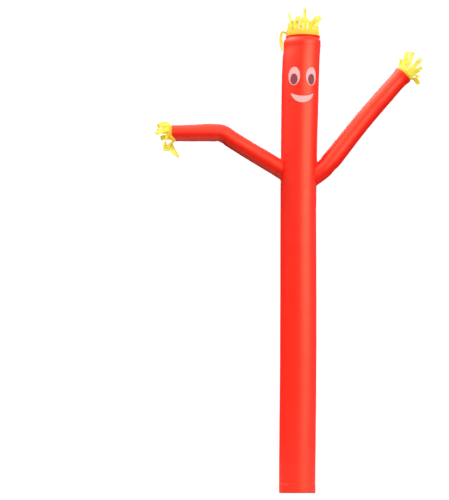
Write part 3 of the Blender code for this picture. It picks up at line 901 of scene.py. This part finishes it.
def sewn(name, stitches, material, size=SEAM_THREAD):
    """One piece with every stitch of a seam. Each stitch is its start, its end and the way out."""
    corners, faces = [], []
    for k, (start, end, outward) in enumerate(stitches):
        run = end - start
        length = run.length
        run.normalize()
        side = outward.cross(run).normalized()
        turn = np.array((run[:], side[:], run.cross(side)[:])).T
        at = (start + end) / 2
        corners.append((STITCH * (length, *size)) @ turn.T + np.array(at[:]))
        faces += [tuple(k * len(STITCH) + v for v in face) for face in STITCH_FACES]
    mesh = bpy.data.meshes.new(name)
    mesh.from_pydata(np.concatenate(corners).tolist(), [], faces)
    thing = bpy.data.objects.new(name, mesh)
    bpy.context.scene.collection.objects.link(thing)
    finished(thing, material, smooth_angle=80)


def distances(points):
    """How far along a line of points each one lies."""
    return np.concatenate(([0.0], np.cumsum(np.linalg.norm(np.diff(points, axis=0), axis=1))))


def run_of(places, outwards):
    """Stitches of one pitch along a line of places."""
    points = np.array([p[:] for p in places])
    ways = np.array([o[:] for o in outwards])
    run = distances(points)
    count = max(1, int(run[-1] / STITCH_PITCH))
    starts = (np.arange(count) + 0.1) * run[-1] / count
    ends = starts + run[-1] / count * STITCH_SHARE

    def at(where, values):
        return np.stack([np.interp(where, run, values[:, k]) for k in range(3)], axis=1)

    return [
        (Vector(a), Vector(b), Vector(o).normalized())
        for a, b, o in zip(at(starts, points), at(ends, points), at(starts, ways))
    ]


def round_body(height, sides=240):
    """A row of stitches all the way round."""
    at = row_at(height)
    angles = [2 * math.pi * k / sides for k in range(sides + 1)]
    places = [STAND + body_point(a, at, GAP) for a in angles]
    return run_of(places, [Vector((math.cos(a), math.sin(a), 0)) for a in angles])


def up_body(off, low=0.004, high=5.69, steps=400):
    """A row of stitches up the back seam, off to one side of it."""
    angle = math.pi / 2 + off / FLAT_RADIUS
    heights = [low + (high - low) * k / steps for k in range(steps + 1)]
    places = [STAND + body_point(angle, row_at(z), GAP) for z in heights]
    return run_of(places, [Vector((math.cos(angle), math.sin(angle), 0))] * len(places))


def on_sleeve(sleeve, line):
    """Stitches along a line on a sleeve, given as (angle, row) pairs."""
    places = [STAND + sleeve.point(angle, at, GAP) for angle, at in line]
    return run_of(places, [sleeve.outward(angle, at) for angle, at in line])


def round_sleeve(sleeve, before_end, sides=120):
    at = sleeve.row(sleeve.end - before_end)
    return on_sleeve(sleeve, [(2 * math.pi * k / sides, at) for k in range(sides + 1)])


def round_root(sleeve, off, sides=120):
    """Stitches beside the armhole's seam."""
    angles = [turn_of(k, sides) for k in range(sides + 1)]
    return on_sleeve(sleeve, [(a, sleeve.row(sleeve.length(sleeve.root(a)) + off)) for a in angles])


def along_sleeve(sleeve, off, steps=240):
    """A row of stitches along a sleeve's long seam, off to one side of it."""
    start, end = sleeve.length(sleeve.root(SLEEVE_SEAM)) + 0.012, sleeve.end - 0.004
    rows = [sleeve.row(start + (end - start) * k / steps) for k in range(steps + 1)]
    return on_sleeve(sleeve, [(SLEEVE_SEAM + off / between(sleeve.table, at).w, at) for at in rows])


def satin(edge, degrees, height, layer, reach, steps=400):
    """Close stitches that cross a patch's edge, half on it and half off."""
    lift = layer_lift(layer + 1)
    flat = np.array([edge(2 * math.pi * k / steps) for k in range(steps + 1)])
    run = distances(flat)
    count = int(run[-1] / SATIN_PITCH)
    found = []

    def edge_at(where):
        return Vector([float(np.interp(where, run, flat[:, i])) for i in (0, 1)])

    def on_face(place, raised):
        return face_point(degrees, height, place.x, place.y, raised)

    for k in range(count):
        where = run[-1] * (k + 0.5) / count
        middle = edge_at(where)
        way = (edge_at(where + 0.001) - middle).normalized()
        off = Vector((way.y, -way.x)) * reach / 2
        start, end = (on_face(middle + side * off, lift - SATIN_SUNK) for side in (-1, 1))
        found.append((start, end, (on_face(middle, lift + 0.01) - on_face(middle, lift)).normalized()))
    return found


def piping(name, sleeve, material, sides=144):
    """The turned seam that joins a sleeve to its armhole."""
    curve = bpy.data.curves.new(name, "CURVE")
    curve.dimensions, curve.bevel_depth, curve.bevel_resolution = "3D", PIPING, 1
    line = curve.splines.new("POLY")
    line.points.add(sides - 1)
    for k, point in enumerate(line.points):
        angle = turn_of(k, sides)
        point.co = (*(STAND + sleeve.point(angle, sleeve.root(angle), CLOTH / 2)), 1.0)
    line.use_cyclic_u = True
    thing = bpy.data.objects.new(name, curve)
    bpy.context.scene.collection.objects.link(thing)
    take_up(thing)
    bpy.ops.object.convert(target="MESH")
    thing = bpy.context.active_object
    if not thing.data.uv_layers:
        thing.data.uv_layers.new(name="UVMap")
    finished(thing, material, smooth_angle=80)


# ---------------------------------------- the set

# A light's share is what it gives a surface that faces it, where 1 makes white cloth look white.
Light = namedtuple("Light", "name place target wide high share")
LIGHTS = (
    Light("Key, right", Vector((19.5, -17.4, 9.8)), Vector((0.1, 0.0, 3.0)), 25.0, 10.0, 0.70),
    Light("Panel, side left", Vector((-4.9, -3.0, 8.0)), Vector((0.1, 0.0, 5.4)), 12.0, 3.6, 0.26),
    Light("Panel, top left", Vector((-4.0, 0.4, 9.7)), Vector((0.85, 0.1, 4.7)), 6.0, 4.0, 0.28),
    Light("Back, soft", Vector((0.5, 11.0, 7.0)), Vector((0.1, 0.0, 3.0)), 7.0, 5.0, 0.65),
)
FLOOR_SIZE, FLOOR_GREY, WALL_BRIGHTNESS = 6.4, (0.44, 0.44, 0.44), 1.05
CAMERA_OFF, CAMERA_TILT = Vector((-0.9027, -34.0, 0.15)), 4.8387  # from STAND, and degrees up from level
CAMERA_LENS, CAMERA_SENSOR, CAMERA_SEES = 196.37, 36.0, 400  # millimetres, and how far it sees in metres


def add_light(light):
    bpy.ops.object.light_add(type="AREA", location=light.place)
    lamp = bpy.context.active_object
    lamp.name = light.name
    lamp.data.shape = "RECTANGLE"
    lamp.data.size, lamp.data.size_y = light.wide, light.high
    way = light.target - light.place
    lamp.data.energy = light.share * math.pi**2 * way.length ** 2
    lamp.rotation_euler = way.to_track_quat("-Z", "Y").to_euler()


def make_sky():
    """The camera sees a plain white wall. The light is soft: from overhead, most from the upper left, and
    a little from the right, above the floor."""
    world = bpy.data.worlds.new("Studio")
    bpy.context.scene.world = world
    world.use_nodes = True
    tree = world.node_tree
    way = tree.nodes.new("ShaderNodeTexCoord").outputs["Generated"]
    parts = tree.nodes.new("ShaderNodeSeparateXYZ")
    tree.links.new(way, parts.inputs[0])

    def ramp(value, *limits):
        """A smooth rise from the third limit to the fourth, as value goes from the first to the second."""
        made = tree.nodes.new("ShaderNodeMapRange")
        made.interpolation_type = "SMOOTHSTEP"
        for name, limit in zip(("From Min", "From Max", "To Min", "To Max"), limits):
            made.inputs[name].default_value = limit
        tree.links.new(value, made.inputs["Value"])
        return made.outputs["Result"]

    def maths(operation, *values):
        made = tree.nodes.new("ShaderNodeMath")
        made.operation = operation
        for value, socket in zip(values, made.inputs):
            tree.links.new(value, socket)
        return made.outputs[0]

    def towards(*way_to):
        made = tree.nodes.new("ShaderNodeVectorMath")
        made.operation = "DOT_PRODUCT"
        made.inputs[1].default_value = Vector(way_to).normalized()
        tree.links.new(way, made.inputs[0])
        return made.outputs["Value"]

    height = parts.outputs["Z"]
    overhead = ramp(height, 0.22, 0.70, 0.03, 1.00)
    upper_left = ramp(towards(-0.80, -0.02, 0.60), 0.45, 0.95, 0.0, 2.7)
    upper_left = maths("MULTIPLY_ADD", upper_left, ramp(height, 0.20, 0.55, 0.0, 1.0), overhead)
    right = ramp(towards(0.80, -0.58, 0.12), -0.45, 1.0, 0.0, 0.62)
    total = maths("MULTIPLY_ADD", right, ramp(height, -0.35, 0.05, 0.0, 1.0), upper_left)
    sky = tree.nodes["Background"]
    sky.inputs["Color"].default_value = (1, 1, 1, 1)
    tree.links.new(total, sky.inputs["Strength"])
    wall = tree.nodes.new("ShaderNodeBackground")
    wall.inputs["Color"].default_value = (1, 1, 1, 1)
    wall.inputs["Strength"].default_value = WALL_BRIGHTNESS
    path = tree.nodes.new("ShaderNodeLightPath")
    both = tree.nodes.new("ShaderNodeMixShader")
    tree.links.new(path.outputs["Is Camera Ray"], both.inputs[0])
    tree.links.new(sky.outputs[0], both.inputs[1])
    tree.links.new(wall.outputs[0], both.inputs[2])
    tree.links.new(both.outputs[0], tree.nodes["World Output"].inputs["Surface"])


def make_set():
    bpy.ops.mesh.primitive_plane_add(size=FLOOR_SIZE, location=(0, 0, 0))
    floor = bpy.context.active_object
    floor.name = "studio_floor"
    paint = Finish("Pale studio floor", FLOOR_GREY)
    paint.give(paint.shader, {"Roughness": 0.85 + 0.1 * paint.speckle(0.6, 2.0)})
    floor.data.materials.append(paint.material)

    make_sky()
    for light in LIGHTS:
        add_light(light)

    upward = math.radians(90 + CAMERA_TILT)
    bpy.ops.object.camera_add(location=STAND + CAMERA_OFF, rotation=(upward, 0, 0))
    camera = bpy.context.active_object
    camera.data.sensor_width, camera.data.lens = CAMERA_SENSOR, CAMERA_LENS
    camera.data.clip_end = CAMERA_SEES
    bpy.context.scene.camera = camera
    bpy.context.scene.view_settings.view_transform = "Standard"


# ---------------------------------------- the object

def make_tubes(red):
    thread_red = thread("Red thread", (0.70, 0.020, 0.008))
    tube = finished(make_tube(), red, ["body_tube"])
    for name, sleeve, node in (("sleeve_left", LEFT, "arm_left"), ("sleeve_right", RIGHT, "arm_right")):
        cloth = finished(make_sleeve(name, sleeve), red, [node])
        sleeve.end - 0.12
        piping("armhole_seam_" + name, sleeve, red)
        stitches = round_sleeve(sleeve, SEAM_OFF) + round_root(sleeve, SEAM_OFF)
        stitches += round_sleeve(sleeve, sleeve.end - sleeve.seam - 0.004)
        stitches += along_sleeve(sleeve, 0.004) + along_sleeve(sleeve, -0.004)
        sewn("stitches_" + name, stitches, thread_red)

    stitches = []
    for height in HEM_STITCHES:
        stitches += round_body(height)
    sewn("stitches_hems", stitches, thread_red)
    sewn("stitches_back_seam", up_body(0.0045) + up_body(-0.0045), thread_red)


def make_fringes(yellow):
    fringes = (
        ("hair", "hair_fringe", HAIR_COMB, head_mouth(), "tube_cloth"),
        ("streamers_left", "wrist_fringe_left", LEFT_COMB, wrist_mouth(LEFT), "sleeve_left"),
        ("streamers_right", "wrist_fringe_right", RIGHT_COMB, wrist_mouth(RIGHT), "sleeve_right"),
    )
    for name, node, comb, mouth, carrier in fringes:
        cloth = finished(make_streamers(name, comb, mouth), yellow, [node])
        around = 2 * math.pi * (mouth.radius + comb.flare)
        long = comb.inside + comb.band + max(tip_distance(s) for s in comb.strips) * CURL
        area = comb_area(comb, mouth.radius)


def make_face():
    white = patch_cloth("White face cloth", (0.84, 0.46, 0.44), (0.84, 0.39, 0.37))
    dark = patch_cloth("Dark face cloth", (0.26, 0.050, 0.060), (0.30, 0.070, 0.080))
    thread_face = thread("Dark red thread", (0.55, 0.030, 0.025))
    for name, side in (("left", -1), ("right", 1)):
        turned = FACE_TURN + side * EYE_ANGLE
        eye = make_oval(f"eye_{name}", EYE_WIDE, EYE_TALL, turned, EYE_HEIGHT, 0)
        finished(eye, white, [f"eye_white_{name}"])
        low = EYE_HEIGHT - PUPIL_DROP
        iris = make_oval(f"iris_{name}", PUPIL_WIDE, PUPIL_TALL, turned, low, 1)
        finished(iris, dark, [f"pupil_{name}"])
        for thing, wide, tall in ((eye, EYE_WIDE, EYE_TALL), (iris, PUPIL_WIDE, PUPIL_TALL)):
            math.pi / 4 * wide * tall
        edges = satin(oval_edge(EYE_WIDE, EYE_TALL), turned, EYE_HEIGHT, 0, WHITE_SATIN)
        edges += satin(oval_edge(PUPIL_WIDE, PUPIL_TALL), turned, low, 1, DARK_SATIN)
        sewn(f"satin_eye_{name}", edges, thread_face, SATIN_THREAD)
    smile = finished(make_smile(), white, ["mouth"])
    edges = satin(smile_edge, FACE_TURN, MOUTH_CORNERS, 0, WHITE_SATIN)
    sewn("satin_smile", edges, thread_face, SATIN_THREAD)


make_set()
make_tubes(ripstop())
make_fringes(ribbon_cloth())
make_face()
